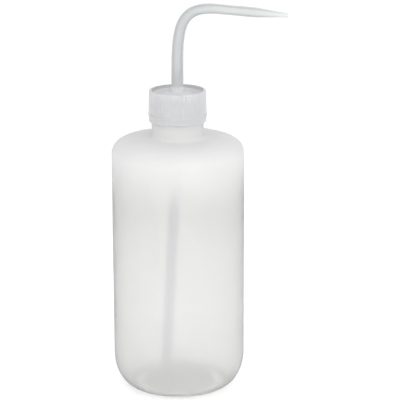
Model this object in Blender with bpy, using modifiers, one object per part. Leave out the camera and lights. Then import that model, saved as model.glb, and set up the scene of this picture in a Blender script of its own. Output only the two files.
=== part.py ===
"""Laboratory wash bottle, 500 mL: bottle, screw cap, neck insert, delivery stem and dip tube.

Run it with blender --background --python part.py, or from Blender's text editor.
Units are metres and +Z is up. The origin is on the bottle's axis, at the level it stands on,
and the delivery stem points along +X.
"""

import math

import bmesh
import bpy
from mathutils import Matrix, Vector, geometry

MM = 0.001
MERGE = 0.00001
TURN = 2 * math.pi

# Clearance between neighbouring pieces, how far a bore's cutter overshoots, and how much a
# moulded edge is softened
GAP = 0.3 * MM
BORE_OVERSHOOT = 1.0 * MM
EDGE_SOFTENING = 0.3 * MM
SHARP_ANGLE = math.radians(35)

# Resolution of the round pieces
BODY_STEPS = 40
RIB_COUNT = 48
CAP_STEPS = 2 * RIB_COUNT
TUBE_SIDES_RESOLUTION = 3

# Bottle: outside
BODY_RADIUS = 36.5 * MM
SHOULDER_Z = 132.3 * MM
SHOULDER_HEIGHT = 10.3 * MM
SHOULDER_POWER = 2.9
BASE_CORNER_WIDTH = 12.3 * MM
BASE_CORNER_HEIGHT = 18.6 * MM
STANDING_RING_WIDTH = 4.2 * MM
PANEL_HEIGHT = 1.0 * MM
PANEL_SLOPE_WIDTH = 2.0 * MM
COLLAR_RADIUS = 14.3 * MM
COLLAR_FILLET = 2.2 * MM
COLLAR_TOP_Z = 151.4 * MM
COLLAR_CHAMFER = 0.6 * MM

# Bottle: wall and neck
WALL = 0.8 * MM
SHOULDER_WALL = 1.5 * MM
BASE_WALL = 1.3 * MM
NECK_RADIUS = 12.5 * MM
NECK_BORE = 10.6 * MM
NECK_BORE_START_Z = 151.9 * MM
NECK_TAPER_HEIGHT = 2.2 * MM
RIM_Z = 164.1 * MM
RIM_ROUND = 0.5 * MM

# Screw thread, shared by the neck and the cap: right-hand, six turns to the inch
THREAD_PITCH = 25.4 / 6 * MM
THREAD_RADIUS = 13.65 * MM
THREAD_ROOT_WIDTH = 2.0 * MM
THREAD_CREST_WIDTH = 0.9 * MM
THREAD_EMBED = 0.5 * MM
NECK_THREAD_START_Z = 153.9 * MM
NECK_THREAD_TURNS = 2.0
NECK_THREAD_START_ANGLE = math.radians(60)
CAP_THREAD_RADIUS = 12.85 * MM
CAP_THREAD_ROOT_WIDTH = 1.6 * MM
CAP_THREAD_CREST_WIDTH = 0.7 * MM
CAP_THREAD_DROP = 1.65 * MM
CAP_THREAD_TURNS = 1.25

# Screw cap: a ribbed grip with a little draft, a bead below it, and a plain band at the mouth
CAP_TOP_RADIUS = 15.6 * MM
CAP_RADIUS = 15.9 * MM
CAP_BEAD_RADIUS = 16.1 * MM
CAP_BAND_RADIUS = 15.7 * MM
CAP_RIB_DEPTH = 0.35 * MM
CAP_TOP_Z = 169.05 * MM
CAP_BEAD_TOP_Z = 156.4 * MM
CAP_BEAD_BOTTOM_Z = 154.9 * MM
CAP_BAND_TOP_Z = 153.9 * MM
CAP_BOTTOM_Z = 151.7 * MM
CAP_BORE = 14.0 * MM
CAP_EDGE_ROUND = 0.6 * MM
CAP_MOUTH_CHAMFER = 0.5 * MM
CAP_MOUTH_LEAD_WIDTH = 0.4 * MM
CAP_MOUTH_LEAD_HEIGHT = 0.8 * MM
CAP_RIM_INNER_RADIUS = 13.9 * MM
CAP_RIM_SOFTENING = 0.2 * MM
CAP_RECESS_DEPTH = 1.8 * MM
CAP_RECESS_DRAFT = 0.4 * MM
CAP_WEB = 1.4 * MM
BOSS_TOP_Z = 170.8 * MM
BOSS_TOP_RADIUS = 4.1 * MM
BOSS_FOOT_RADIUS = 5.6 * MM
BOSS_FOOT_HEIGHT = 2.0 * MM

# Delivery stem: a vertical tube, one smooth bend in the XZ plane, and an arm with a drawn tip
STEM_RADIUS = 3.32 * MM
STEM_BORE_SHARE = 0.6
STEM_BEND_START_Z = 175.7 * MM
STEM_BEND_RISE = 26.0 * MM
STEM_BEND_END_X = 21.5 * MM
STEM_BEND_END_Z = 213.3 * MM
STEM_BEND_RUN = 21.5 * MM
STEM_BEND_END_RADIUS = 2.75 * MM
STEM_BEND_POINTS = 14
STEM_DROOP = math.radians(5.56)
# How the arm narrows, swells and tapers to its tip: X and outer radius
ARM_STATIONS = (
    (29.5 * MM, 2.65 * MM),
    (38.0 * MM, 2.7 * MM),
    (42.5 * MM, 2.72 * MM),
    (60.2 * MM, 1.08 * MM),
)

# Neck insert: flange on the rim, plug skirt in the bore, sockets for the two tubes
FLANGE_RADIUS = 12.2 * MM
PLUG_RADIUS = NECK_BORE - GAP
PLUG_WALL = 1.1 * MM
PLUG_DEPTH = 3.6 * MM
PLUG_LEAD_WIDTH = 0.4 * MM
PLUG_LEAD_HEIGHT = 0.8 * MM
SOCKET_RADIUS = 4.7 * MM
SOCKET_BOTTOM_Z = 149.0 * MM
SOCKET_STEP_Z = 158.0 * MM
SOCKET_STEP_HEIGHT = 1.2 * MM
SOCKET_STEP_BORE = 2.2 * MM
SOCKET_EDGE_WIDTH = 0.4 * MM
SOCKET_EDGE_HEIGHT = 0.5 * MM

# Dip tube: leaves the insert upright and leans towards -X
DIP_RADIUS = 3.0 * MM
DIP_WALL = 1.1 * MM
DIP_END_Z = 8.0 * MM
DIP_BEND_HEIGHT = 8.0 * MM
DIP_LEAN = 0.054
DIP_BEND_POINTS = 6
DIP_STRAIGHT_POINTS = 4


def clear_scene():
    """Remove whatever the scene holds, such as the default cube, camera and light."""
    for obj in list(bpy.data.objects):
        bpy.data.objects.remove(obj, do_unlink=True)


def make_collection(name):
    """A new collection, linked to the scene."""
    collection = bpy.data.collections.new(name)
    bpy.context.scene.collection.children.link(collection)
    return collection


def make_material(name, color, roughness, transmission):
    """A milky plastic: a Principled BSDF with some light let through."""
    material = bpy.data.materials.new(name)
    material.use_nodes = True
    shader = material.node_tree.nodes["Principled BSDF"]
    shader.inputs["Base Color"].default_value = (*color, 1.0)
    shader.inputs["Roughness"].default_value = roughness
    shader.inputs["Metallic"].default_value = 0.0
    shader.inputs["Transmission Weight"].default_value = transmission
    return material


def superellipse(center, radii, start, end, count, power=2.0):
    """Points on a corner from one angle to another, both ends included."""
    points = []
    for index in range(count):
        angle = start + (end - start) * index / (count - 1)
        across = math.cos(angle)
        up = math.sin(angle)
        x = center[0] + radii[0] * math.copysign(abs(across) ** (2 / power), across)
        z = center[1] + radii[1] * math.copysign(abs(up) ** (2 / power), up)
        points.append((x, z))
    return points


def turned(name, profile, steps, closed, material, collection):
    """A turned piece: the profile in the XZ plane, swept round Z by a Screw modifier."""
    mesh = bpy.data.meshes.new(name)
    edges = [(index, index + 1) for index in range(len(profile) - 1)]
    if closed:
        edges.append((len(profile) - 1, 0))
    mesh.from_pydata([(x, 0.0, z) for x, z in profile], edges, [])
    mesh.materials.append(material)
    obj = bpy.data.objects.new(name, mesh)
    collection.objects.link(obj)
    screw = obj.modifiers.new("Turn", "SCREW")
    screw.axis = "Z"
    screw.angle = TURN
    screw.steps = steps
    screw.render_steps = steps
    screw.use_merge_vertices = True
    screw.merge_threshold = MERGE
    screw.use_smooth_shade = True
    return obj


def apply_modifiers(obj):
    """Swap the object's mesh for its evaluated one, without the modifiers."""
    bpy.context.view_layer.update()
    evaluated = obj.evaluated_get(bpy.context.evaluated_depsgraph_get())
    mesh = bpy.data.meshes.new_from_object(evaluated)
    obj.modifiers.clear()
    obj.data = mesh
    mesh.name = obj.name


def make_cutter(obj):
    """Mark an object that only serves a Boolean modifier."""
    obj.hide_render = True
    obj.display_type = "WIRE"


def add_boolean(obj, other, operation):
    """Join the other object to this one, or cut it away."""
    boolean = obj.modifiers.new(other.name, "BOOLEAN")
    boolean.operation = operation
    boolean.solver = "EXACT"
    boolean.object = other
    make_cutter(other)


def thread_ridge(name, section, start_angle, turns, collection):
    """A right-hand helical ridge: a flat section in the XZ plane, spun round Z as it rises."""
    shape = bmesh.new()
    corners = [shape.verts.new((x, 0.0, z)) for x, z in section]
    face = shape.faces.new(corners)
    steps = round(BODY_STEPS * turns)
    rise = Vector((0.0, 0.0, THREAD_PITCH / BODY_STEPS))
    bmesh.ops.rotate(shape, verts=shape.verts, matrix=Matrix.Rotation(start_angle, 3, "Z"))
    bmesh.ops.spin(
        shape,
        geom=[face, *face.edges, *face.verts],
        cent=(0.0, 0.0, 0.0),
        axis=(0.0, 0.0, 1.0),
        dvec=rise,
        angle=TURN * steps / BODY_STEPS,
        steps=steps,
        use_duplicate=False,
    )
    bmesh.ops.remove_doubles(shape, verts=shape.verts, dist=MERGE)
    bmesh.ops.recalc_face_normals(shape, faces=shape.faces)
    mesh = bpy.data.meshes.new(name)
    shape.to_mesh(mesh)
    shape.free()
    obj = bpy.data.objects.new(name, mesh)
    collection.objects.link(obj)
    return obj


def tube_mesh(name, route, radii, collection):
    """A round bar along a route, its radius given at each point, as a closed mesh object."""
    curve = bpy.data.curves.new(name, "CURVE")
    curve.dimensions = "3D"
    curve.bevel_depth = 1.0
    curve.bevel_resolution = TUBE_SIDES_RESOLUTION
    curve.use_fill_caps = True
    spline = curve.splines.new("POLY")
    spline.points.add(len(route) - 1)
    for point, place, radius in zip(spline.points, route, radii):
        point.co = (*place, 1.0)
        point.radius = radius
    guide = bpy.data.objects.new(name + "_guide", curve)
    collection.objects.link(guide)
    bpy.context.view_layer.update()
    evaluated = guide.evaluated_get(bpy.context.evaluated_depsgraph_get())
    mesh = bpy.data.meshes.new_from_object(evaluated)
    shape = bmesh.new()
    shape.from_mesh(mesh)
    bmesh.ops.remove_doubles(shape, verts=shape.verts, dist=MERGE)
    bmesh.ops.recalc_face_normals(shape, faces=shape.faces)
    shape.to_mesh(mesh)
    shape.free()
    obj = bpy.data.objects.new(name, mesh)
    obj.matrix_world = guide.matrix_world
    collection.objects.link(obj)
    bpy.data.objects.remove(guide, do_unlink=True)
    return obj


def stretched(route, extra):
    """The route with its two ends moved outwards, so that a bore cuts right through."""
    first = route[0] + (route[0] - route[1]).normalized() * extra
    last = route[-1] + (route[-1] - route[-2]).normalized() * extra
    return [first, *route[1:-1], last]


def hollow_tube(name, route, radii, bores, material, part, cutters):
    """A tube: a bar along the route, less a thinner bar along the same route."""
    tube = tube_mesh(name, route, radii, part)
    bore_route = stretched(route, BORE_OVERSHOOT)
    bore = tube_mesh(name + "_bore", bore_route, bores, cutters)
    tube.data.materials.clear()
    tube.data.materials.append(material)
    add_boolean(tube, bore, "DIFFERENCE")
    return tube


def shade_round(obj):
    """Smooth shading, with the sharper edges kept crisp."""
    obj.data.shade_smooth()
    obj.data.set_sharp_from_angle(angle=SHARP_ANGLE)


def bottle_outside():
    """The outer outline, from the top of the neck rim down to the axis at the base."""
    corner_x = BODY_RADIUS - BASE_CORNER_WIDTH
    fillet_x = COLLAR_RADIUS + COLLAR_FILLET
    shoulder_top_z = SHOULDER_Z + SHOULDER_HEIGHT
    fillet_center = (fillet_x, shoulder_top_z + COLLAR_FILLET)
    panel_x = corner_x - STANDING_RING_WIDTH
    rim = superellipse(
        (NECK_RADIUS - RIM_ROUND, RIM_Z - RIM_ROUND), (RIM_ROUND, RIM_ROUND), math.pi / 2, 0, 3
    )
    neck = [(NECK_RADIUS, COLLAR_TOP_Z + COLLAR_CHAMFER), (COLLAR_RADIUS, COLLAR_TOP_Z)]
    fillet = superellipse(fillet_center, (COLLAR_FILLET,) * 2, math.pi, 1.5 * math.pi, 4)
    shoulder = superellipse(
        (fillet_x, SHOULDER_Z),
        (BODY_RADIUS - fillet_x, SHOULDER_HEIGHT),
        math.pi / 2,
        0,
        8,
        SHOULDER_POWER,
    )
    base = superellipse(
        (corner_x, BASE_CORNER_HEIGHT),
        (BASE_CORNER_WIDTH, BASE_CORNER_HEIGHT),
        0,
        -math.pi / 2,
        8,
    )
    panel = [(panel_x, 0.0), (panel_x - PANEL_SLOPE_WIDTH, PANEL_HEIGHT), (0.0, PANEL_HEIGHT)]
    return rim + neck + fillet + shoulder[1:] + base + panel


def bottle_inside():
    """The inner outline, from the axis at the floor up to the neck rim."""
    corner_x = BODY_RADIUS - BASE_CORNER_WIDTH
    fillet_x = COLLAR_RADIUS + COLLAR_FILLET
    shoulder_top_z = SHOULDER_Z + SHOULDER_HEIGHT
    fillet_center = (fillet_x, shoulder_top_z + COLLAR_FILLET)
    fillet_radius = COLLAR_FILLET + SHOULDER_WALL
    panel_x = corner_x - STANDING_RING_WIDTH - PANEL_SLOPE_WIDTH
    floor = [(0.0, PANEL_HEIGHT + BASE_WALL), (panel_x, PANEL_HEIGHT + BASE_WALL)]
    base = superellipse(
        (corner_x, BASE_CORNER_HEIGHT),
        (BASE_CORNER_WIDTH - WALL, BASE_CORNER_HEIGHT - BASE_WALL),
        -math.pi / 2,
        0,
        6,
    )
    shoulder = superellipse(
        (fillet_x, SHOULDER_Z),
        (BODY_RADIUS - WALL - fillet_x, SHOULDER_HEIGHT - SHOULDER_WALL),
        0,
        math.pi / 2,
        6,
        SHOULDER_POWER,
    )
    fillet = superellipse(fillet_center, (fillet_radius,) * 2, 1.5 * math.pi, math.pi, 4)
    neck = [
        (COLLAR_RADIUS - SHOULDER_WALL, NECK_BORE_START_Z - NECK_TAPER_HEIGHT),
        (NECK_BORE, NECK_BORE_START_Z),
        (NECK_BORE, RIM_Z),
    ]
    return floor + base + shoulder + fillet[1:] + neck


def make_bottle(material, part, cutters):
    """The blown bottle with its threaded neck."""
    profile = bottle_inside() + bottle_outside()
    bottle = turned("bottle_body", profile, BODY_STEPS, False, material, part)
    foot_x = NECK_RADIUS - THREAD_EMBED
    half_root = THREAD_ROOT_WIDTH / 2
    half_crest = THREAD_CREST_WIDTH / 2
    z = NECK_THREAD_START_Z
    section = [
        (foot_x, z - half_root),
        (THREAD_RADIUS, z - half_crest),
        (THREAD_RADIUS, z + half_crest),
        (foot_x, z + half_root),
    ]
    ridge = thread_ridge(
        "neck_thread", section, NECK_THREAD_START_ANGLE, NECK_THREAD_TURNS, cutters
    )
    add_boolean(bottle, ridge, "UNION")
    return bottle


def cap_profile():
    """The cap's closed outline: down the outside, up the inside, and back over the top."""
    web_bottom_z = CAP_TOP_Z - CAP_RECESS_DEPTH - CAP_WEB
    floor_z = CAP_TOP_Z - CAP_RECESS_DEPTH
    edge = superellipse(
        (CAP_TOP_RADIUS - CAP_EDGE_ROUND, CAP_TOP_Z - CAP_EDGE_ROUND),
        (CAP_EDGE_ROUND, CAP_EDGE_ROUND),
        math.pi / 2,
        0,
        3,
    )
    skirt = [
        (CAP_RADIUS, CAP_BEAD_TOP_Z),
        (CAP_BEAD_RADIUS, CAP_BEAD_TOP_Z - EDGE_SOFTENING),
        (CAP_BEAD_RADIUS, CAP_BEAD_BOTTOM_Z),
        (CAP_BAND_RADIUS, CAP_BAND_TOP_Z),
        (CAP_BAND_RADIUS, CAP_BOTTOM_Z + CAP_MOUTH_CHAMFER),
        (CAP_BAND_RADIUS - CAP_MOUTH_CHAMFER, CAP_BOTTOM_Z),
    ]
    bore_radius = STEM_RADIUS + GAP
    inside = [
        (CAP_BORE + CAP_MOUTH_LEAD_WIDTH, CAP_BOTTOM_Z),
        (CAP_BORE, CAP_BOTTOM_Z + CAP_MOUTH_LEAD_HEIGHT),
        (CAP_BORE, web_bottom_z),
        (bore_radius, web_bottom_z),
    ]
    boss = [
        (bore_radius, BOSS_TOP_Z),
        (BOSS_TOP_RADIUS - EDGE_SOFTENING, BOSS_TOP_Z),
        (BOSS_TOP_RADIUS, BOSS_TOP_Z - EDGE_SOFTENING),
    ]
    foot = superellipse(
        (BOSS_FOOT_RADIUS, floor_z + BOSS_FOOT_HEIGHT),
        (BOSS_FOOT_RADIUS - BOSS_TOP_RADIUS, BOSS_FOOT_HEIGHT),
        math.pi,
        1.5 * math.pi,
        4,
    )
    recess = [
        (CAP_RIM_INNER_RADIUS - CAP_RECESS_DRAFT, floor_z),
        (CAP_RIM_INNER_RADIUS, CAP_TOP_Z - CAP_RIM_SOFTENING),
        (CAP_RIM_INNER_RADIUS + CAP_RIM_SOFTENING, CAP_TOP_Z),
    ]
    return edge + skirt + inside + boss + foot + recess


def press_ribs(obj):
    """Draw every second line of the grip in, from below the top edge down to the bead."""
    top = CAP_TOP_Z - CAP_EDGE_ROUND / 2
    bottom = CAP_BEAD_TOP_Z - EDGE_SOFTENING / 2
    innermost = (CAP_BORE + CAP_TOP_RADIUS) / 2
    for vertex in obj.data.vertices:
        place = vertex.co
        radius = math.hypot(place.x, place.y)
        line = round(math.atan2(place.y, place.x) / TURN * CAP_STEPS)
        if bottom < place.z < top and radius > innermost and line % 2:
            scale = 1 - CAP_RIB_DEPTH / radius
            vertex.co = (place.x * scale, place.y * scale, place.z)


def make_cap(material, part, cutters):
    """The ribbed screw cap with its inner thread."""
    cap = turned("screw_cap", cap_profile(), CAP_STEPS, True, material, part)
    apply_modifiers(cap)
    press_ribs(cap)
    foot_x = CAP_BORE + THREAD_EMBED
    half_root = CAP_THREAD_ROOT_WIDTH / 2
    half_crest = CAP_THREAD_CREST_WIDTH / 2
    z = NECK_THREAD_START_Z + THREAD_PITCH - CAP_THREAD_DROP
    section = [
        (foot_x, z - half_root),
        (foot_x, z + half_root),
        (CAP_THREAD_RADIUS, z + half_crest),
        (CAP_THREAD_RADIUS, z - half_crest),
    ]
    ridge = thread_ridge(
        "cap_thread", section, NECK_THREAD_START_ANGLE, CAP_THREAD_TURNS, cutters
    )
    add_boolean(cap, ridge, "UNION")
    return cap


def insert_profile():
    """The insert's closed outline: down the outside, and up through the sockets."""
    flange_top_z = CAP_TOP_Z - CAP_RECESS_DEPTH - CAP_WEB - GAP
    flange_bottom_z = RIM_Z + GAP
    plug_bottom_z = flange_bottom_z - PLUG_DEPTH
    stem_bore = STEM_RADIUS + GAP
    dip_bore = DIP_RADIUS + GAP
    step_top_z = SOCKET_STEP_Z + SOCKET_STEP_HEIGHT
    return [
        (stem_bore, flange_top_z),
        (FLANGE_RADIUS - EDGE_SOFTENING, flange_top_z),
        (FLANGE_RADIUS, flange_top_z - EDGE_SOFTENING),
        (FLANGE_RADIUS, flange_bottom_z),
        (PLUG_RADIUS, flange_bottom_z),
        (PLUG_RADIUS, plug_bottom_z + PLUG_LEAD_HEIGHT),
        (PLUG_RADIUS - PLUG_LEAD_WIDTH, plug_bottom_z),
        (PLUG_RADIUS - PLUG_WALL, plug_bottom_z),
        (PLUG_RADIUS - PLUG_WALL, flange_bottom_z),
        (SOCKET_RADIUS, flange_bottom_z),
        (SOCKET_RADIUS, SOCKET_BOTTOM_Z + SOCKET_EDGE_HEIGHT),
        (SOCKET_RADIUS - SOCKET_EDGE_WIDTH, SOCKET_BOTTOM_Z),
        (dip_bore, SOCKET_BOTTOM_Z),
        (dip_bore, SOCKET_STEP_Z),
        (SOCKET_STEP_BORE, SOCKET_STEP_Z),
        (SOCKET_STEP_BORE, step_top_z),
        (stem_bore, step_top_z),
    ]


def stem_route():
    """The stem's centre line and its outer radius at each point."""
    bottom_z = SOCKET_STEP_Z + SOCKET_STEP_HEIGHT + GAP
    arm_way = Vector((math.cos(STEM_DROOP), 0.0, -math.sin(STEM_DROOP)))
    bend_start = Vector((0.0, 0.0, STEM_BEND_START_Z))
    bend_end = Vector((STEM_BEND_END_X, 0.0, STEM_BEND_END_Z))
    bend = geometry.interpolate_bezier(
        bend_start,
        bend_start + Vector((0.0, 0.0, STEM_BEND_RISE)),
        bend_end - arm_way * STEM_BEND_RUN,
        bend_end,
        STEM_BEND_POINTS,
    )
    route = [Vector((0.0, 0.0, bottom_z))]
    radii = [STEM_RADIUS]
    for index, place in enumerate(bend):
        share = index / (STEM_BEND_POINTS - 1)
        route.append(place)
        radii.append(STEM_RADIUS + (STEM_BEND_END_RADIUS - STEM_RADIUS) * share)
    for x, radius in ARM_STATIONS:
        route.append(bend_end + arm_way * (x - bend_end.x) / arm_way.x)
        radii.append(radius)
    return route, radii


def make_stem(material, part, cutters):
    """The bent delivery stem, hollow down to its tip."""
    route, radii = stem_route()
    bores = [radius * STEM_BORE_SHARE for radius in radii]
    return hollow_tube("delivery_stem", route, radii, bores, material, part, cutters)


def dip_route():
    """The dip tube's centre line: upright in its socket, an easy bend, then a straight lean."""
    top_z = SOCKET_STEP_Z - GAP
    route = [Vector((0.0, 0.0, top_z))]
    for index in range(DIP_BEND_POINTS):
        drop = DIP_BEND_HEIGHT * index / (DIP_BEND_POINTS - 1)
        x = -DIP_LEAN * drop**2 / (2 * DIP_BEND_HEIGHT)
        route.append(Vector((x, 0.0, SOCKET_BOTTOM_Z - drop)))
    bend_end = route[-1]
    straight = bend_end.z - DIP_END_Z
    for index in range(DIP_STRAIGHT_POINTS):
        drop = straight * (index + 1) / DIP_STRAIGHT_POINTS
        route.append(Vector((bend_end.x - DIP_LEAN * drop, 0.0, bend_end.z - drop)))
    return route


def make_dip_tube(material, part, cutters):
    """The dip tube, pushed up into the insert's lower socket."""
    route = dip_route()
    radii = [DIP_RADIUS] * len(route)
    bores = [DIP_RADIUS - DIP_WALL] * len(route)
    return hollow_tube("dip_tube", route, radii, bores, material, part, cutters)


def main():
    """Build the wash bottle."""
    clear_scene()
    part = make_collection("wash_bottle")
    cutters = make_collection("cutters")
    bottle_plastic = make_material("bottle_ldpe", (0.93, 0.93, 0.92), 0.4, 0.5)
    cap_plastic = make_material("cap_pp", (0.88, 0.89, 0.9), 0.35, 0.4)
    insert_plastic = make_material("insert_pe", (0.92, 0.92, 0.92), 0.4, 0.3)
    stem_plastic = make_material("stem_ldpe", (0.9, 0.92, 0.92), 0.2, 0.6)
    dip_plastic = make_material("dip_ldpe", (0.88, 0.9, 0.91), 0.2, 0.5)
    make_bottle(bottle_plastic, part, cutters)
    cap = make_cap(cap_plastic, part, cutters)
    shade_round(cap)
    turned("seal_insert", insert_profile(), BODY_STEPS, True, insert_plastic, part)
    shade_round(make_stem(stem_plastic, part, cutters))
    shade_round(make_dip_tube(dip_plastic, part, cutters))


main()
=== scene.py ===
"""Looks of the laboratory wash bottle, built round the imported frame.

Every piece is rebuilt at fine resolution from turned outlines and swept tubes: the bottle with
its threaded neck, the ribbed cap, the neck insert, the drawn delivery stem and the dip tube.
Units are metres, +Z is up, and the origin is on the bottle's axis at the level it stands on.
"""

import math

import bmesh
import bpy
from mathutils import Matrix, Vector, geometry, noise


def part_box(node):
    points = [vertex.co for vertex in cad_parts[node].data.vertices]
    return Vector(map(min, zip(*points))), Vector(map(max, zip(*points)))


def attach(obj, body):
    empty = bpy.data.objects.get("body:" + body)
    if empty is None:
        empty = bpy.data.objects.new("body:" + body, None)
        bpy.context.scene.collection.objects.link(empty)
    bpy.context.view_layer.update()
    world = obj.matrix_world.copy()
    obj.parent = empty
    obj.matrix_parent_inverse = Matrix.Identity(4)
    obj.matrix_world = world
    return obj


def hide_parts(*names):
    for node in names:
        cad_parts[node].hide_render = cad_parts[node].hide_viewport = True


MM = 0.001
TURN = 2 * math.pi
SHARP_ANGLE = math.radians(50)

# Points on small roundings, and the small steps between outlines that meet
EDGE_POINTS = 5
FILLET_POINTS = 9
EDGE_STEP = 0.1 * MM
TOUCH = 0.001 * MM

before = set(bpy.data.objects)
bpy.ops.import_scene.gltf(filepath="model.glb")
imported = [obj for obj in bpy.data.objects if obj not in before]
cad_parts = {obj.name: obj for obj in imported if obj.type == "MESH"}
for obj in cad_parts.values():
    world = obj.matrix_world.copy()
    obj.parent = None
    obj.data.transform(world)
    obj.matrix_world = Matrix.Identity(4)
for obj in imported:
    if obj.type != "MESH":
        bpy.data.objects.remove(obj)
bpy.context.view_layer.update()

_, bottle_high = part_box("bottle_body")
cap_low, cap_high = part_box("screw_cap")

# Bottle
BODY_RADIUS = bottle_high.x
RIM_Z = bottle_high.z
SHOULDER_Z = 132.3 * MM
SHOULDER_HEIGHT = 10.3 * MM
SHOULDER_POWER = 2.9
BASE_CORNER_WIDTH = 12.3 * MM
BASE_CORNER_HEIGHT = 18.6 * MM
STANDING_RING_WIDTH = 4.2 * MM
PANEL_HEIGHT = 1.0 * MM
PANEL_SLOPE_WIDTH = 2.0 * MM
COLLAR_RADIUS = 14.3 * MM
COLLAR_FILLET = 2.2 * MM
COLLAR_TOP_Z = 151.6 * MM
WALL = 0.8 * MM
SHOULDER_WALL = 1.5 * MM
BASE_WALL = 1.3 * MM
NECK_RADIUS = 12.5 * MM
NECK_BORE = 10.6 * MM
NECK_BORE_START_Z = 151.9 * MM
NECK_TAPER_HEIGHT = 2.2 * MM
NECK_FOOT_WIDTH = 0.5 * MM
NECK_FOOT_HEIGHT = 0.7 * MM
NECK_FOOT_RISE = 0.15 * MM
NECK_INNER_RISE = 0.5 * MM
COLLAR_EDGE_ROUND = 0.4 * MM
COLLAR_EDGE_DROP = 0.6 * MM
RIM_ROUND = 0.5 * MM
RIM_INNER_EDGE = 0.3 * MM
WAVE_LENGTH = 28 * MM
WAVE_HEIGHT = 0.12 * MM
WAVE_STRETCH = 0.55
WAVE_TOP_Z = COLLAR_TOP_Z - 2 * MM
WAVE_RISES_Z = (2 * MM, 14 * MM)
WAVE_FADES_Z = (140 * MM, 147 * MM)
BOTTLE_SIDES = 180
PANEL_POINTS = 9
INNER_CORNER_POINTS = 25
OUTER_CORNER_POINTS = 31
INNER_SHOULDER_POINTS = 33
OUTER_SHOULDER_POINTS = 41
FLAT_STEP = 3.0 * MM
RING_STEP = 1.0 * MM
WALL_STEP = 5 * MM
INNER_WALL_STEP = 6 * MM
NECK_STEP = 1.5 * MM
THREAD_STEP = 0.14 * MM

# Thread
THREAD_PITCH = 25.4 / 6 * MM
THREAD_RADIUS = 13.65 * MM
THREAD_ROOT_WIDTH = 2.0 * MM
THREAD_CREST_WIDTH = 0.9 * MM
NECK_THREAD_START_Z = 153.9 * MM
NECK_THREAD_TURNS = 2.0
THREAD_START_ANGLE = math.radians(60)
CAP_THREAD_RADIUS = 12.85 * MM
CAP_THREAD_ROOT_WIDTH = 1.6 * MM
CAP_THREAD_CREST_WIDTH = 0.7 * MM
CAP_THREAD_DROP = 1.65 * MM
CAP_THREAD_TURNS = 1.25
THREAD_FADE = math.radians(24)
NECK_THREAD_RADII = (NECK_RADIUS - 0.01 * MM, COLLAR_RADIUS - 0.6 * MM)

# Cap
CAP_TOP_RADIUS = 15.6 * MM
CAP_RADIUS = 15.9 * MM
CAP_BEAD_RADIUS = 16.1 * MM
CAP_BAND_RADIUS = 15.7 * MM
CAP_TOP_Z = 169.05 * MM
CAP_BEAD_TOP_Z = 156.4 * MM
CAP_BEAD_BOTTOM_Z = 154.9 * MM
CAP_BAND_TOP_Z = 153.9 * MM
CAP_BOTTOM_Z = cap_low.z
CAP_BORE = 14.0 * MM
CAP_EDGE_ROUND = 0.6 * MM
CAP_EDGE_POINTS = 7
CAP_MOUTH_ROUND = 0.4 * MM
CAP_MOUTH_POINTS = 6
CAP_MOUTH_LEAD_WIDTH = 0.4 * MM
CAP_MOUTH_LEAD_HEIGHT = 0.8 * MM
CAP_WEB_FILLET = 0.5 * MM
CAP_WEB_POINTS = 4
CAP_WEB_INSET = 0.7 * MM
CAP_BEAD_ROUND = 0.35 * MM
CAP_BEAD_SIDE_DROP = 0.5 * MM
CAP_RIM_INNER_RADIUS = 13.9 * MM
CAP_RIM_INNER_ROUND = 0.35 * MM
CAP_RIM_INNER_LEAD = 0.3 * MM
CAP_RECESS_FILLET = 0.5 * MM
CAP_RECESS_DRAFT = 0.2 * MM
CAP_RECESS_FLOOR_INSETS = (0.5 * MM, 0.9 * MM)
CAP_RECESS_DEPTH = 1.8 * MM
CAP_WEB = 1.4 * MM
CAP_THREAD_TOP_Z = CAP_TOP_Z - 3.6 * MM
SKIRT_STEP = 0.2 * MM
WEB_STEP = 1.5 * MM
BOSS_STEP = 1.0 * MM
GRIP_STEP = 0.4 * MM
BAND_STEP = 0.3 * MM
RIB_COUNT = 48
RIB_DEPTH = 0.28 * MM
RIB_SHARPNESS = 1.6
RIB_INNER_RADIUS = CAP_RIM_INNER_RADIUS + 0.9 * MM
RIB_LOW_Z = CAP_BEAD_TOP_Z - 0.3 * MM
RIB_RISES_Z = (CAP_BEAD_TOP_Z - 0.2 * MM, CAP_BEAD_TOP_Z + 0.3 * MM)
RIB_FADES_Z = (CAP_TOP_Z - 0.7 * MM, CAP_TOP_Z - 0.1 * MM)
SIDES_PER_RIB = 8
BOSS_TOP_Z = cap_high.z
BOSS_TOP_RADIUS = 4.1 * MM
BOSS_FOOT_RADIUS = 5.6 * MM
BOSS_FOOT_HEIGHT = 2.0 * MM
BOSS_LIP_DROP = 0.2 * MM
BOSS_LIP_WIDTHS = (0.05 * MM, 0.15 * MM)
BOSS_EDGE_WIDTH = 0.25 * MM
BOSS_EDGE_DROP = 0.35 * MM
GAP = 0.3 * MM
BORE_GAP = 0.08 * MM

# Delivery stem
STEM_RADIUS = 3.32 * MM
STEM_BORE_SHARE = 0.6
STEM_BEND_START_Z = 175.7 * MM
STEM_BEND_RISE = 26.0 * MM
STEM_BEND_END_X = 21.5 * MM
STEM_BEND_END_Z = 213.3 * MM
STEM_BEND_RUN = 21.5 * MM
STEM_BEND_END_RADIUS = 2.75 * MM
STEM_DROOP = math.radians(5.56)
UPRIGHT_POINTS = 8
BEND_POINTS = 50
ARM_POINTS = 44
ARM_STATIONS = (
    (29.5 * MM, 2.65 * MM),
    (38.0 * MM, 2.7 * MM),
    (42.5 * MM, 2.72 * MM),
    (60.2 * MM, 1.08 * MM),
)
STATION_EASE = 1.2 * MM
STATION_SAMPLES = 7
STEM_SIDES = 64
STEM_LIP = 0.25 * MM

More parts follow.
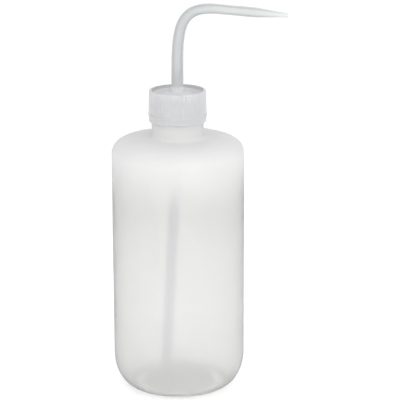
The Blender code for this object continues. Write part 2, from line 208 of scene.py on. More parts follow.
# Neck insert
SOCKET_RADIUS = 4.7 * MM
SOCKET_BOTTOM_Z = 149.0 * MM
SOCKET_STEP_Z = 158.0 * MM
SOCKET_STEP_HEIGHT = 1.2 * MM
SOCKET_STEP_BORE = 2.2 * MM
FLANGE_RADIUS = 12.2 * MM
PLUG_WALL = 1.1 * MM
PLUG_DEPTH = 3.6 * MM
PLUG_LEAD_WIDTH = 0.4 * MM
PLUG_LEAD_HEIGHT = 0.8 * MM
SOCKET_EDGE_WIDTH = 0.4 * MM
SOCKET_EDGE_HEIGHT = 0.5 * MM
FLANGE_EDGE = 0.3 * MM
INSERT_SIDES = 96
INSERT_EDGE_WIDTH = 0.12 * MM
INSERT_EDGE_ANGLE = math.radians(40)

# Dip tube
DIP_RADIUS = 3.0 * MM
DIP_WALL = 1.1 * MM
DIP_END_Z = 8.0 * MM
DIP_BEND_HEIGHT = 8.0 * MM
DIP_LEAN = 0.054
DIP_SOCKET_POINTS = 5
DIP_BEND_POINTS = 12
DIP_STRAIGHT_POINTS = 24
DIP_SIDES = 48
DIP_LIP = 0.2 * MM
LIP_SHARE = 0.45
INNER_LIP_SHARE = 0.5

# Plastics: where the clearness or the painted shade changes, as stops of (distance, value). The
# shade ramps darken colours where the light should fall weaker: painted shade.
UPWARDS = (0, 0, 1)
OUTWARDS = (1, 1, 0)
SIDEWAYS = (1, 0, 0)
BOTTLE_CLEARNESS = ((105 * MM, 0.8), (135 * MM, 0.22))
# Painted shade: the bottle's colour darkens at its very foot, round the upper body and most at the
# neck under the cap, standing in for weaker light there.
BOTTLE_PAINTED_SHADE = (
    (0.2 * MM, 0.96),
    (1.5 * MM, 1.0),
    (70 * MM, 1.0),
    (112 * MM, 0.965),
    (130 * MM, 0.98),
    (142 * MM, 1.0),
    (147 * MM, 0.96),
    (151 * MM, 0.92),
)
CAP_CLEARNESS = ((5.5 * MM, 0.3), (9 * MM, 0.42))
# Painted shade: the colour darkens across the cap's top recess and most at its inner wall, standing
# in for the shade inside the hollow top.
CAP_PAINTED_SHADE = (
    (6.5 * MM, 1.0),
    (9 * MM, 0.95),
    (13 * MM, 0.93),
    (13.9 * MM, 0.59),
    (14.6 * MM, 1.0),
)
STEM_CLEARNESS = ((167 * MM, 0.2), (182 * MM, 0.975))
# Painted shade: the stem's upright is coloured darker than its arm, standing in for the weaker
# light on the upright.
STEM_PAINTED_SHADE = ((4 * MM, 0.95), (26 * MM, 1.0))
MOTTLE = 0.02
MOTTLE_COARSENESS = 12
ROUGHNESS_SPREAD = 0.15
ROUGHNESS_COARSENESS = 4
GRAIN_HEIGHT = 0.1 * MM
NOISE_DETAIL = 3.0
NOISE_SPAN = (0.3, 0.7)

# Floor and studio
FLOOR_HALF_WIDTH = 6.0
FLOOR_SHADE = 0.92
FLOOR_ROUGHNESS = 0.9
# Painted light: the floor glows, brightest round the bottle, which washes out its shadow and lights
# its base from below.
FLOOR_GLOW = ((0.1, 0.345), (0.4, 0.22))
STUDIO_LEVEL = 1.06
STUDIO_LEAN = (0.1, -0.25, -0.03)
STUDIO_SIDE_FALL = 0.4

# Camera
CAMERA_DISTANCE = 1.0
CAMERA_HEIGHT = 0.3819
CAMERA_PITCH = math.radians(15.40)
CAMERA_YAW = math.radians(0.694)
CAMERA_ROLL = math.radians(0.18)
CAMERA_LENS = 168.39
CAMERA_SENSOR = 36.0
CAMERA_CLIP = (0.05, 50.0)


def superellipse(center, radii, start, end, count, power=2.0):
    """Points on a corner from one angle to another, both ends included."""
    points = []
    for index in range(count):
        angle = start + (end - start) * index / (count - 1)
        across = math.cos(angle)
        up = math.sin(angle)
        x = center[0] + radii[0] * math.copysign(abs(across) ** (2 / power), across)
        z = center[1] + radii[1] * math.copysign(abs(up) ** (2 / power), up)
        points.append((x, z))
    return points


def line(start, end, step):
    """Points from start towards end, a step or less apart, without the end."""
    length = math.dist(start, end)
    count = max(1, math.ceil(length / step))
    return [
        (
            start[0] + (end[0] - start[0]) * index / count,
            start[1] + (end[1] - start[1]) * index / count,
        )
        for index in range(count)
    ]


def chain(corners, step):
    """A polyline through the corners with points a step apart, the last corner left out."""
    points = []
    for start, end in zip(corners, corners[1:]):
        points += line(start, end, step)
    return points


def smoothstep(low, high, value):
    """0 below low, 1 above high, eased in between."""
    share = min(1.0, max(0.0, (value - low) / (high - low)))
    return share * share * (3 - 2 * share)


def revolve(name, profile, steps, closed, shift=None):
    """A turned mesh. shift(radius, z, angle) moves each point; an open profile ends on the axis."""
    vertices = []
    rings = []
    for radius, z in profile:
        if radius < 1e-7:
            rings.append([len(vertices)])
            vertices.append((0.0, 0.0, z))
            continue
        ring = []
        for step in range(steps):
            angle = TURN * step / steps
            r, height = shift(radius, z, angle) if shift else (radius, z)
            ring.append(len(vertices))
            vertices.append((r * math.cos(angle), r * math.sin(angle), height))
        rings.append(ring)
    faces = []
    count = len(rings) if closed else len(rings) - 1
    for index in range(count):
        lower = rings[index]
        upper = rings[(index + 1) % len(rings)]
        for step in range(steps):
            after = (step + 1) % steps
            if len(lower) == 1:
                faces.append((lower[0], upper[after], upper[step]))
            elif len(upper) == 1:
                faces.append((lower[step], lower[after], upper[0]))
            else:
                faces.append((lower[step], lower[after], upper[after], upper[step]))
    return make_object(name, vertices, faces)


def make_object(name, vertices, faces):
    """A smooth-shaded object from points and faces, its normals turned outwards."""
    mesh = bpy.data.meshes.new(name)
    mesh.from_pydata(vertices, [], faces)
    shape = bmesh.new()
    shape.from_mesh(mesh)
    bmesh.ops.recalc_face_normals(shape, faces=shape.faces)
    shape.to_mesh(mesh)
    shape.free()
    mesh.shade_smooth()
    mesh.set_sharp_from_angle(angle=SHARP_ANGLE)
    obj = bpy.data.objects.new(name, mesh)
    bpy.context.scene.collection.objects.link(obj)
    return obj


def thread_height(angle, z, start_z, turns, root_width, crest_width):
    """How much of the thread's full height stands at this angle and level, 0 to 1."""
    best = 0.0
    for lap in range(-1, math.ceil(turns) + 1):
        along = (angle - THREAD_START_ANGLE) % TURN + lap * TURN
        if not 0 <= along <= turns * TURN:
            continue
        level = start_z + THREAD_PITCH * along / TURN
        away = abs(z - level)
        flank = 1 - smoothstep(crest_width / 2, root_width / 2, away)
        fade_in = smoothstep(0, THREAD_FADE, along)
        fade_out = 1 - smoothstep(turns * TURN - THREAD_FADE, turns * TURN, along)
        best = max(best, flank * fade_in * fade_out)
    return best


def bottle_profile():
    """The bottle wall's outline: up the inside from the axis, over the rim, down the outside."""
    corner_x = BODY_RADIUS - BASE_CORNER_WIDTH
    fillet_x = COLLAR_RADIUS + COLLAR_FILLET
    shoulder_top_z = SHOULDER_Z + SHOULDER_HEIGHT
    fillet_center = (fillet_x, shoulder_top_z + COLLAR_FILLET)
    panel_x = corner_x - STANDING_RING_WIDTH
    slope_x = panel_x - PANEL_SLOPE_WIDTH
    floor_z = PANEL_HEIGHT + BASE_WALL
    inner_x = BODY_RADIUS - WALL

    inside = line((0.0, floor_z), (slope_x, floor_z), FLAT_STEP)
    for index in range(PANEL_POINTS):
        share = index / (PANEL_POINTS - 1)
        inside.append(
            (
                slope_x + PANEL_SLOPE_WIDTH * share,
                floor_z - PANEL_HEIGHT * smoothstep(0, 1, share),
            )
        )
    inside += superellipse(
        (corner_x, BASE_CORNER_HEIGHT),
        (BASE_CORNER_WIDTH - WALL, BASE_CORNER_HEIGHT - BASE_WALL),
        -math.pi / 2,
        0,
        INNER_CORNER_POINTS,
    )
    inside += line((inner_x, BASE_CORNER_HEIGHT), (inner_x, SHOULDER_Z), INNER_WALL_STEP)[1:]
    inside += superellipse(
        (fillet_x, SHOULDER_Z),
        (inner_x - fillet_x, SHOULDER_HEIGHT - SHOULDER_WALL),
        0,
        math.pi / 2,
        INNER_SHOULDER_POINTS,
        SHOULDER_POWER,
    )
    inside += superellipse(
        fillet_center,
        (COLLAR_FILLET + SHOULDER_WALL,) * 2,
        1.5 * math.pi,
        math.pi,
        FILLET_POINTS,
    )[1:]
    neck_in = COLLAR_RADIUS - SHOULDER_WALL
    inside += chain(
        [
            (neck_in, fillet_center[1] + NECK_INNER_RISE),
            (neck_in, NECK_BORE_START_Z - NECK_TAPER_HEIGHT),
            (NECK_BORE, NECK_BORE_START_Z),
            (NECK_BORE, RIM_Z - RIM_INNER_EDGE),
            (NECK_BORE + RIM_INNER_EDGE, RIM_Z),
        ],
        NECK_STEP,
    )

    outside = superellipse(
        (NECK_RADIUS - RIM_ROUND, RIM_Z - RIM_ROUND), (RIM_ROUND,) * 2, math.pi / 2, 0, EDGE_POINTS
    )
    outside += chain(
        [
            (NECK_RADIUS, RIM_Z - RIM_ROUND - EDGE_STEP),
            (NECK_RADIUS, COLLAR_TOP_Z + NECK_FOOT_HEIGHT),
            (NECK_RADIUS + NECK_FOOT_WIDTH, COLLAR_TOP_Z + NECK_FOOT_RISE),
        ],
        THREAD_STEP,
    )
    outside += superellipse(
        (COLLAR_RADIUS - COLLAR_EDGE_ROUND, COLLAR_TOP_Z - COLLAR_EDGE_ROUND),
        (COLLAR_EDGE_ROUND,) * 2,
        math.pi / 2,
        0,
        EDGE_POINTS,
    )
    outside += line(
        (COLLAR_RADIUS, COLLAR_TOP_Z - COLLAR_EDGE_DROP),
        (COLLAR_RADIUS, fillet_center[1]),
        RING_STEP,
    )
    outside += superellipse(
        fillet_center, (COLLAR_FILLET,) * 2, math.pi, 1.5 * math.pi, FILLET_POINTS
    )
    outside += superellipse(
        (fillet_x, SHOULDER_Z),
        (BODY_RADIUS - fillet_x, SHOULDER_HEIGHT),
        math.pi / 2,
        0,
        OUTER_SHOULDER_POINTS,
        SHOULDER_POWER,
    )[1:]
    outside += line((BODY_RADIUS, SHOULDER_Z), (BODY_RADIUS, BASE_CORNER_HEIGHT), WALL_STEP)[1:]
    outside += superellipse(
        (corner_x, BASE_CORNER_HEIGHT),
        (BASE_CORNER_WIDTH, BASE_CORNER_HEIGHT),
        0,
        -math.pi / 2,
        OUTER_CORNER_POINTS,
    )
    outside += line((corner_x, 0.0), (panel_x, 0.0), RING_STEP)[1:]
    for index in range(PANEL_POINTS):
        share = index / (PANEL_POINTS - 1)
        rise = PANEL_HEIGHT * smoothstep(0, 1, share)
        outside.append((panel_x - PANEL_SLOPE_WIDTH * share, rise))
    outside += line((slope_x, PANEL_HEIGHT), (0.0, PANEL_HEIGHT), FLAT_STEP)[1:]
    outside.append((0.0, PANEL_HEIGHT))
    return inside + outside


def bottle_shift(radius, z, angle):
    """The neck's thread, and the slow waviness of a blown wall."""
    if NECK_THREAD_RADII[0] < radius < NECK_THREAD_RADII[1] and z > COLLAR_TOP_Z:
        height = thread_height(
            angle, z, NECK_THREAD_START_Z, NECK_THREAD_TURNS, THREAD_ROOT_WIDTH, THREAD_CREST_WIDTH
        )
        return radius + (THREAD_RADIUS - NECK_RADIUS) * height, z
    if z < WAVE_TOP_Z and radius > STANDING_RING_WIDTH:
        x = radius * math.cos(angle)
        y = radius * math.sin(angle)
        wave = noise.noise(Vector((x, y, WAVE_STRETCH * z)) / WAVE_LENGTH)
        window = smoothstep(*WAVE_RISES_Z, z) * (1 - smoothstep(*WAVE_FADES_Z, z))
        return radius - WAVE_HEIGHT / 2 * wave * window, z
    return radius, z


def make_bottle():
    """The blown bottle, its outside threaded at the neck."""
    return revolve("bottle_shell", bottle_profile(), BOTTLE_SIDES, False, bottle_shift)


def cap_profile():
    """The cap's closed outline: up the inside of the skirt, out over the boss, down the outside."""
    web_bottom_z = CAP_TOP_Z - CAP_RECESS_DEPTH - CAP_WEB
    floor_z = CAP_TOP_Z - CAP_RECESS_DEPTH
    bore = STEM_RADIUS + BORE_GAP
    inner_edge = CAP_BAND_RADIUS - CAP_MOUTH_ROUND - EDGE_STEP
    points = chain(
        [
            (inner_edge, CAP_BOTTOM_Z),
            (CAP_BORE + CAP_MOUTH_LEAD_WIDTH, CAP_BOTTOM_Z),
            (CAP_BORE, CAP_BOTTOM_Z + CAP_MOUTH_LEAD_HEIGHT),
            (CAP_BORE, web_bottom_z - CAP_WEB_FILLET),
        ],
        SKIRT_STEP,
    )
    points += superellipse(
        (CAP_BORE - CAP_WEB_FILLET, web_bottom_z - CAP_WEB_FILLET),
        (CAP_WEB_FILLET,) * 2,
        0,
        math.pi / 2,
        CAP_WEB_POINTS,
    )
    points += line((CAP_BORE - CAP_WEB_INSET, web_bottom_z), (bore, web_bottom_z), WEB_STEP)
    points += line((bore, web_bottom_z), (bore, BOSS_TOP_Z - BOSS_LIP_DROP), BOSS_STEP)
    points += [(bore + width, BOSS_TOP_Z) for width in BOSS_LIP_WIDTHS]
    points += [(BOSS_TOP_RADIUS - BOSS_EDGE_WIDTH, BOSS_TOP_Z - BOSS_EDGE_DROP)]
    points += superellipse(
        (BOSS_FOOT_RADIUS, floor_z + BOSS_FOOT_HEIGHT),
        (BOSS_FOOT_RADIUS - BOSS_TOP_RADIUS - EDGE_STEP, BOSS_FOOT_HEIGHT),
        math.pi,
        1.5 * math.pi,
        FILLET_POINTS,
    )
    points += line(
        (BOSS_FOOT_RADIUS + CAP_RECESS_FLOOR_INSETS[0], floor_z),
        (CAP_RIM_INNER_RADIUS - CAP_RECESS_FLOOR_INSETS[1], floor_z),
        RING_STEP,
    )
    points += superellipse(
        (CAP_RIM_INNER_RADIUS - CAP_RECESS_DRAFT - CAP_RECESS_FILLET, floor_z + CAP_RECESS_FILLET),
        (CAP_RECESS_FILLET,) * 2,
        1.5 * math.pi,
        2 * math.pi,
        EDGE_POINTS,
    )
    points += superellipse(
        (CAP_RIM_INNER_RADIUS + CAP_RIM_INNER_LEAD, CAP_TOP_Z - CAP_RIM_INNER_ROUND),
        (CAP_RIM_INNER_ROUND,) * 2,
        math.pi,
        math.pi / 2,
        EDGE_POINTS,
    )
    points += superellipse(
        (CAP_TOP_RADIUS - CAP_EDGE_ROUND, CAP_TOP_Z - CAP_EDGE_ROUND),
        (CAP_EDGE_ROUND,) * 2,
        math.pi / 2,
        0,
        CAP_EDGE_POINTS,
    )
    points += line(
        (CAP_TOP_RADIUS, CAP_TOP_Z - CAP_EDGE_ROUND),
        (CAP_RADIUS, CAP_BEAD_TOP_Z + EDGE_STEP),
        GRIP_STEP,
    )[1:]
    bead = CAP_BEAD_RADIUS - CAP_RADIUS
    points += superellipse(
        (CAP_RADIUS, CAP_BEAD_TOP_Z - CAP_BEAD_ROUND),
        (bead, CAP_BEAD_ROUND),
        math.pi / 2,
        0,
        EDGE_POINTS,
    )
    points += chain(
        [
            (CAP_BEAD_RADIUS, CAP_BEAD_TOP_Z - CAP_BEAD_SIDE_DROP),
            (CAP_BEAD_RADIUS, CAP_BEAD_BOTTOM_Z),
            (CAP_BAND_RADIUS, CAP_BAND_TOP_Z),
            (CAP_BAND_RADIUS, CAP_BOTTOM_Z + CAP_MOUTH_ROUND),
        ],
        BAND_STEP,
    )
    points += superellipse(
        (CAP_BAND_RADIUS - CAP_MOUTH_ROUND, CAP_BOTTOM_Z + CAP_MOUTH_ROUND),
        (CAP_MOUTH_ROUND,) * 2,
        0,
        -math.pi / 2,
        CAP_MOUTH_POINTS,
    )
    return points


def cap_shift(radius, z, angle):
    """The grip's ribs outside and the thread inside."""
    if CAP_THREAD_RADIUS < radius <= CAP_BORE + TOUCH and z < CAP_THREAD_TOP_Z:
        height = thread_height(
            angle,
            z,
            NECK_THREAD_START_Z + THREAD_PITCH - CAP_THREAD_DROP,
            CAP_THREAD_TURNS,
            CAP_THREAD_ROOT_WIDTH,
            CAP_THREAD_CREST_WIDTH,
        )
        return radius - (CAP_BORE - CAP_THREAD_RADIUS) * height, z
    if radius > RIB_INNER_RADIUS and z > RIB_LOW_Z:
        window = smoothstep(*RIB_RISES_Z, z) * (1 - smoothstep(*RIB_FADES_Z, z))
        valley = 0.5 + 0.5 * math.cos(RIB_COUNT * angle)
        return radius - RIB_DEPTH * window * valley**RIB_SHARPNESS, z
    return radius, z


def make_cap():
    """The ribbed screw cap."""
    return revolve("ribbed_cap", cap_profile(), RIB_COUNT * SIDES_PER_RIB, True, cap_shift)


def insert_profile():
    """The insert's closed outline: up through the sockets and down the outside."""
    flange_top_z = CAP_TOP_Z - CAP_RECESS_DEPTH - CAP_WEB - GAP
    flange_bottom_z = RIM_Z + GAP
    stem_bore = STEM_RADIUS + GAP
    dip_bore = DIP_RADIUS + GAP
    step_top_z = SOCKET_STEP_Z + SOCKET_STEP_HEIGHT
    plug = NECK_BORE - GAP
    corners = [
        (dip_bore, SOCKET_BOTTOM_Z),
        (dip_bore, SOCKET_STEP_Z),
        (SOCKET_STEP_BORE, SOCKET_STEP_Z),
        (SOCKET_STEP_BORE, step_top_z),
        (stem_bore, step_top_z),
        (stem_bore, flange_top_z),
        (FLANGE_RADIUS - FLANGE_EDGE, flange_top_z),
        (FLANGE_RADIUS, flange_top_z - FLANGE_EDGE),
        (FLANGE_RADIUS, flange_bottom_z),
        (plug, flange_bottom_z),
        (plug, flange_bottom_z - PLUG_DEPTH + PLUG_LEAD_HEIGHT),
        (plug - PLUG_LEAD_WIDTH, flange_bottom_z - PLUG_DEPTH),
        (plug - PLUG_WALL, flange_bottom_z - PLUG_DEPTH),
        (plug - PLUG_WALL, flange_bottom_z),
        (SOCKET_RADIUS, flange_bottom_z),
        (SOCKET_RADIUS, SOCKET_BOTTOM_Z + SOCKET_EDGE_HEIGHT),
        (SOCKET_RADIUS - SOCKET_EDGE_WIDTH, SOCKET_BOTTOM_Z),
    ]
    return corners


def make_insert():
    """The neck insert, with crisp moulded edges."""
    obj = revolve("neck_insert", insert_profile(), INSERT_SIDES, True)
    bevel = obj.modifiers.new("Edges", "BEVEL")
    bevel.width = INSERT_EDGE_WIDTH
    bevel.segments = 2
    bevel.limit_method = "ANGLE"
    bevel.angle_limit = INSERT_EDGE_ANGLE
    return obj


def stem_route():
    """The stem's centre line from its socket to the tip, with the outer radius at each point."""
    bottom_z = SOCKET_STEP_Z + SOCKET_STEP_HEIGHT + GAP
    arm_way = Vector((math.cos(STEM_DROOP), 0.0, -math.sin(STEM_DROOP)))
    bend_start = Vector((0.0, 0.0, STEM_BEND_START_Z))
    bend_end = Vector((STEM_BEND_END_X, 0.0, STEM_BEND_END_Z))
    route = []
    radii = []
    for index in range(UPRIGHT_POINTS):
        share = index / UPRIGHT_POINTS
        route.append(Vector((0.0, 0.0, bottom_z + (STEM_BEND_START_Z - bottom_z) * share)))
        radii.append(STEM_RADIUS)
    bend = geometry.interpolate_bezier(
        bend_start,
        bend_start + Vector((0.0, 0.0, STEM_BEND_RISE)),
        bend_end - arm_way * STEM_BEND_RUN,
        bend_end,
        BEND_POINTS,
    )
    for index, place in enumerate(bend):
        share = index / (BEND_POINTS - 1)
        route.append(place)
        radii.append(STEM_RADIUS + (STEM_BEND_END_RADIUS - STEM_RADIUS) * share)
    stations = [(bend_end.x, STEM_BEND_END_RADIUS), *ARM_STATIONS]
    tip_x = ARM_STATIONS[-1][0]
    for index in range(1, ARM_POINTS + 1):
        x = bend_end.x + (tip_x - bend_end.x) * index / ARM_POINTS
        route.append(bend_end + arm_way * (x - bend_end.x) / arm_way.x)
        radii.append(between(stations, x))
    return route, radii


def between(stations, x):
    """A value read along stations of (x, value), eased round the corners."""
    total = 0.0
    for sample in range(STATION_SAMPLES):
        at = x + STATION_EASE * (sample / (STATION_SAMPLES - 1) - 0.5) * 2
        at = min(max(at, stations[0][0]), stations[-1][0])
        value = stations[-1][1]
        for (x0, v0), (x1, v1) in zip(stations, stations[1:]):
            if x0 <= at <= x1:
                value = v0 + (v1 - v0) * (at - x0) / (x1 - x0)
                break
        total += value
    return total / STATION_SAMPLES


def dip_route():
    """The dip tube's centre line: upright in its socket, an easy bend, then a straight lean."""
    route = []
    top_z = SOCKET_STEP_Z - GAP
    for index in range(DIP_SOCKET_POINTS):
        z = top_z + (SOCKET_BOTTOM_Z - top_z) * index / DIP_SOCKET_POINTS
        route.append(Vector((0.0, 0.0, z)))
    for index in range(DIP_BEND_POINTS + 1):
        drop = DIP_BEND_HEIGHT * index / DIP_BEND_POINTS
        x = -DIP_LEAN * drop**2 / (2 * DIP_BEND_HEIGHT)
        route.append(Vector((x, 0.0, SOCKET_BOTTOM_Z - drop)))
    bend_end = route[-1]
    straight = bend_end.z - DIP_END_Z
    for index in range(1, DIP_STRAIGHT_POINTS + 1):
        drop = straight * index / DIP_STRAIGHT_POINTS
        route.append(Vector((bend_end.x - DIP_LEAN * drop, 0.0, bend_end.z - drop)))
    return route


def sweep_tube(name, route, radii, bores, sides, lip):
    """A hollow tube along a route in the XZ plane: outer wall, rounded ends and bore, one mesh."""
    tangents = []
    for index, place in enumerate(route):
        before = route[max(index - 1, 0)]
        after = route[min(index + 1, len(route) - 1)]
        tangents.append((after - before).normalized())
    rings = []
    last = len(route) - 1
    for index in range(last + 1):
        rings.append((route[index], tangents[index], radii[index]))
    outer_end = radii[last]
    bore_end = bores[last]
    lip_end = min(lip, (outer_end - bore_end) * LIP_SHARE)
    lip_end_in = lip_end * INNER_LIP_SHARE
    lip_in = lip * INNER_LIP_SHARE
    rings[last] = (route[last] - tangents[last] * lip_end, tangents[last], outer_end)
    rings.append((route[last], tangents[last], outer_end - lip_end))
    rings.append((route[last], tangents[last], bore_end + lip_end_in))
    rings.append((route[last] - tangents[last] * lip_end_in, tangents[last], bore_end))
    for index in range(last - 1, 0, -1):
        rings.append((route[index], tangents[index], bores[index]))
    rings.append((route[0] + tangents[0] * lip_in, tangents[0], bores[0]))
    rings.append((route[0], tangents[0], bores[0] + lip_in))
    rings.append((route[0], tangents[0], radii[0] - lip))
    rings[0] = (route[0] + tangents[0] * lip, tangents[0], radii[0])
    side = Vector((0.0, 1.0, 0.0))
    vertices = []
    for place, tangent, radius in rings:
        up = side.cross(tangent)
        for step in range(sides):
            angle = TURN * step / sides
            vertices.append(place + (side * math.cos(angle) + up * math.sin(angle)) * radius)
    faces = []
    for index in range(len(rings)):
        after = (index + 1) % len(rings)
        for step in range(sides):
            turn = (step + 1) % sides
            faces.append(
                (
                    index * sides + step,
                    index * sides + turn,
                    after * sides + turn,
                    after * sides + step,
                )
            )
    return make_object(name, vertices, faces)


def new_material(name):
    """An empty node material with its output node."""
    material = bpy.data.materials.new(name)
    material.use_nodes = True
    tree = material.node_tree
    tree.nodes.clear()
    output = tree.nodes.new("ShaderNodeOutputMaterial")
    return material, tree, output


def noise_between(tree, coordinates, scale, low, high):
    """A socket with soft noise that runs from low to high over the surface."""
    texture = tree.nodes.new("ShaderNodeTexNoise")
    texture.inputs["Scale"].default_value = scale
    texture.inputs["Detail"].default_value = NOISE_DETAIL
    tree.links.new(coordinates.outputs["Object"], texture.inputs["Vector"])
    spread = tree.nodes.new("ShaderNodeMapRange")
    spread.inputs["From Min"].default_value = NOISE_SPAN[0]
    spread.inputs["From Max"].default_value = NOISE_SPAN[1]
    spread.inputs["To Min"].default_value = low
    spread.inputs["To Max"].default_value = high
    tree.links.new(texture.outputs["Fac"], spread.inputs["Value"])
    return spread.outputs["Result"]


def distance_ramp(tree, coordinates, stretch, stops):
    """A socket that eases through values given at distances: stops of (distance, value).

    The distance is the length of the place in the piece's own space times stretch, so (0, 0, 1)
    measures height and (1, 1, 0) the radius.
    """
    reach = stops[-1][0]
    stretched = tree.nodes.new("ShaderNodeVectorMath")
    stretched.operation = "MULTIPLY"
    stretched.inputs[1].default_value = Vector(stretch) / reach
    tree.links.new(coordinates.outputs["Object"], stretched.inputs[0])
    length = tree.nodes.new("ShaderNodeVectorMath")
    length.operation = "LENGTH"
    tree.links.new(stretched.outputs["Vector"], length.inputs[0])
    ramp = tree.nodes.new("ShaderNodeValToRGB")
    ramp.color_ramp.interpolation = "EASE"
    ramp.color_ramp.elements.remove(ramp.color_ramp.elements[1])
    for index, (distance, value) in enumerate(stops):
        elements = ramp.color_ramp.elements
        stop = elements[0] if index == 0 else elements.new(distance / reach)
        stop.position = distance / reach
        stop.color = (value, value, value, 1.0)
    tree.links.new(length.outputs["Value"], ramp.inputs["Fac"])
    return ramp.outputs["Color"]


def milky_plastic(name, color, roughness, ior, absorption, grain, bump, clearness, painted_shade=None):
    """Natural polyolefin: partly scattering, partly letting blurred light through.

    absorption is in shares of the light per metre of wall, so thick edges come out darker.
    clearness is one transmission for the whole piece, or the stretch and stops of a distance
    ramp. painted_shade is such a ramp for how light the colour is: painted shade, darker where the
    light should fall weaker.
    """
    material, tree, output = new_material(name)
    shader = tree.nodes.new("ShaderNodeBsdfPrincipled")
    shader.inputs["IOR"].default_value = ior
    coordinates = tree.nodes.new("ShaderNodeTexCoord")
    lightness = noise_between(
        tree, coordinates, grain / MOTTLE_COARSENESS, 1 - MOTTLE, 1 + MOTTLE / 4
    )
    # Painted shade: the ramp darkens the colour where the light on the piece should fall weaker;
    # lightness then carries the plastic's own random mottle times this painted shade.
    if painted_shade:
        shading = tree.nodes.new("ShaderNodeMath")
        shading.operation = "MULTIPLY"
        tree.links.new(lightness, shading.inputs[0])
        tree.links.new(distance_ramp(tree, coordinates, *painted_shade), shading.inputs[1])
        lightness = shading.outputs["Value"]
    tinted = tree.nodes.new("ShaderNodeVectorMath")
    tinted.operation = "SCALE"
    tinted.inputs[0].default_value = color
    tree.links.new(lightness, tinted.inputs["Scale"])
    tree.links.new(tinted.outputs["Vector"], shader.inputs["Base Color"])
    matt = noise_between(
        tree,
        coordinates,
        grain / ROUGHNESS_COARSENESS,
        (1 - ROUGHNESS_SPREAD) * roughness,
        (1 + ROUGHNESS_SPREAD) * roughness,
    )
    tree.links.new(matt, shader.inputs["Roughness"])
    if isinstance(clearness, tuple):
        clear = distance_ramp(tree, coordinates, *clearness)
        tree.links.new(clear, shader.inputs["Transmission Weight"])
    else:
        shader.inputs["Transmission Weight"].default_value = clearness
    relief = tree.nodes.new("ShaderNodeBump")
    relief.inputs["Strength"].default_value = bump
    relief.inputs["Distance"].default_value = GRAIN_HEIGHT
    tree.links.new(noise_between(tree, coordinates, grain, 0.0, 1.0), relief.inputs["Height"])
    tree.links.new(relief.outputs["Normal"], shader.inputs["Normal"])
    tree.links.new(shader.outputs["BSDF"], output.inputs["Surface"])
    if absorption:
        volume = tree.nodes.new("ShaderNodeVolumeAbsorption")
        volume.inputs["Color"].default_value = (0.5, 0.5, 0.5, 1.0)
        volume.inputs["Density"].default_value = 2 * absorption
        tree.links.new(volume.outputs["Volume"], output.inputs["Volume"])
    return material


def make_floor():
    """A pale floor, far wider than the view, that glows brightest round the bottle: painted light
    that washes out its shadow.
    """
    mesh = bpy.data.meshes.new("floor")
    shape = bmesh.new()
    bmesh.ops.create_grid(shape, x_segments=1, y_segments=1, size=FLOOR_HALF_WIDTH)
    shape.to_mesh(mesh)
    shape.free()
    floor = bpy.data.objects.new("floor", mesh)
    bpy.context.scene.collection.objects.link(floor)
    material, tree, output = new_material("floor_paper")
    shader = tree.nodes.new("ShaderNodeBsdfPrincipled")
    shader.inputs["Base Color"].default_value = (FLOOR_SHADE, FLOOR_SHADE, FLOOR_SHADE, 1.0)
    shader.inputs["Roughness"].default_value = FLOOR_ROUGHNESS
    shader.inputs["Emission Color"].default_value = (1.0, 1.0, 1.0, 1.0)
    coordinates = tree.nodes.new("ShaderNodeTexCoord")
    glow = distance_ramp(tree, coordinates, OUTWARDS, FLOOR_GLOW)
    tree.links.new(glow, shader.inputs["Emission Strength"])
    tree.links.new(shader.outputs["BSDF"], output.inputs["Surface"])
    mesh.materials.append(material)


def make_world(level, lean, side_fall):
    """White studio light from all round.

    It is stronger towards the side that lean points to, and weaker by side_fall at the far left
    and right, which darkens the edges of clear things.
    """
    world = bpy.data.worlds.new("studio")
    world.use_nodes = True
    tree = world.node_tree
    background = tree.nodes["Background"]
    background.inputs["Color"].default_value = (1.0, 1.0, 1.0, 1.0)
    direction = tree.nodes.new("ShaderNodeTexCoord")
    along = tree.nodes.new("ShaderNodeVectorMath")
    along.operation = "DOT_PRODUCT"
    along.inputs[1].default_value = lean
    tree.links.new(direction.outputs["Generated"], along.inputs[0])
    axes = tree.nodes.new("ShaderNodeSeparateXYZ")
    tree.links.new(direction.outputs["Generated"], axes.inputs["Vector"])
    sideways = tree.nodes.new("ShaderNodeMath")
    sideways.operation = "MULTIPLY"
    tree.links.new(axes.outputs["X"], sideways.inputs[0])
    tree.links.new(axes.outputs["X"], sideways.inputs[1])
    leaning = tree.nodes.new("ShaderNodeMath")
    leaning.operation = "ADD"
    leaning.inputs[1].default_value = level
    tree.links.new(along.outputs["Value"], leaning.inputs[0])
    total = tree.nodes.new("ShaderNodeMath")
    total.operation = "MULTIPLY_ADD"
    total.inputs[1].default_value = -side_fall
    tree.links.new(sideways.outputs["Value"], total.inputs[0])
    tree.links.new(leaning.outputs["Value"], total.inputs[2])
    tree.links.new(total.outputs["Value"], background.inputs["Strength"])
    bpy.context.scene.world = world


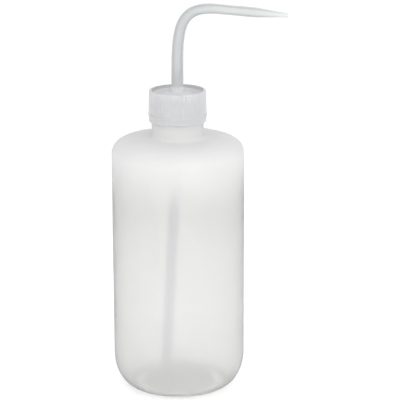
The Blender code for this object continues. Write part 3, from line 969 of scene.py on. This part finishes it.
def make_camera():
    """The camera, in front of the bottle and a little above it, looking down."""
    data = bpy.data.cameras.new("camera")
    data.lens = CAMERA_LENS
    data.sensor_width = CAMERA_SENSOR
    data.clip_start = CAMERA_CLIP[0]
    data.clip_end = CAMERA_CLIP[1]
    camera = bpy.data.objects.new("camera", data)
    bpy.context.scene.collection.objects.link(camera)
    forward = Vector(
        (
            math.sin(CAMERA_YAW) * math.cos(CAMERA_PITCH),
            math.cos(CAMERA_YAW) * math.cos(CAMERA_PITCH),
            -math.sin(CAMERA_PITCH),
        )
    )
    level = Vector((math.cos(CAMERA_YAW), -math.sin(CAMERA_YAW), 0.0))
    up = level.cross(forward)
    right = level * math.cos(CAMERA_ROLL) - up * math.sin(CAMERA_ROLL)
    above = level * math.sin(CAMERA_ROLL) + up * math.cos(CAMERA_ROLL)
    basis = Matrix((right, above, -forward)).transposed().to_4x4()
    camera.matrix_world = Matrix.Translation((0.0, -CAMERA_DISTANCE, CAMERA_HEIGHT)) @ basis
    bpy.context.scene.camera = camera


def place(obj, material, body, node, slot):
    """Give a piece its material and its body, and hide the CAD node that it stands for. slot is not
    used.
    """
    obj.data.materials.clear()
    obj.data.materials.append(material)
    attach(obj, body)
    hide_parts(node)


bottle_plastic = milky_plastic(
    "bottle_ldpe",
    color=(0.97, 0.97, 0.965),
    roughness=0.45,
    ior=1.05,
    absorption=88,
    grain=900,
    bump=0.03,
    clearness=(UPWARDS, BOTTLE_CLEARNESS),
    painted_shade=(UPWARDS, BOTTLE_PAINTED_SHADE),
)
cap_plastic = milky_plastic(
    "cap_pp",
    color=(0.98, 0.986, 0.999),
    roughness=0.34,
    ior=1.1,
    absorption=25,
    grain=1200,
    bump=0.03,
    clearness=(OUTWARDS, CAP_CLEARNESS),
    painted_shade=(OUTWARDS, CAP_PAINTED_SHADE),
)
insert_plastic = milky_plastic(
    "insert_pe",
    color=(0.98, 0.98, 0.98),
    roughness=0.4,
    ior=1.2,
    absorption=0,
    grain=1200,
    bump=0.02,
    clearness=0.3,
)
stem_plastic = milky_plastic(
    "stem_ldpe",
    color=(0.984, 1.0, 1.0),
    roughness=0.33,
    ior=1.06,
    absorption=132,
    grain=300,
    bump=0.01,
    clearness=(UPWARDS, STEM_CLEARNESS),
    painted_shade=(SIDEWAYS, STEM_PAINTED_SHADE),
)
dip_plastic = milky_plastic(
    "dip_ldpe",
    color=(0.978, 0.978, 0.992),
    roughness=0.34,
    ior=1.1,
    absorption=8,
    grain=300,
    bump=0.01,
    clearness=0.82,
)

place(make_bottle(), bottle_plastic, "bottle", "bottle_body", "bottle_plastic")
place(make_cap(), cap_plastic, "cap", "screw_cap", "cap_plastic")
place(make_insert(), insert_plastic, "insert", "seal_insert", "insert_plastic")

route, radii = stem_route()
bores = [radius * STEM_BORE_SHARE for radius in radii]
stem = sweep_tube("spout_tube", route, radii, bores, STEM_SIDES, STEM_LIP)
place(stem, stem_plastic, "nozzle", "delivery_stem", "stem_plastic")

route = dip_route()
dip = sweep_tube(
    "draw_tube",
    route,
    [DIP_RADIUS] * len(route),
    [DIP_RADIUS - DIP_WALL] * len(route),
    DIP_SIDES,
    DIP_LIP,
)
place(dip, dip_plastic, "insert", "dip_tube", "dip_plastic")

make_floor()
make_world(STUDIO_LEVEL, STUDIO_LEAN, STUDIO_SIDE_FALL)
make_camera()

scene = bpy.context.scene
scene.view_settings.view_transform = "Standard"
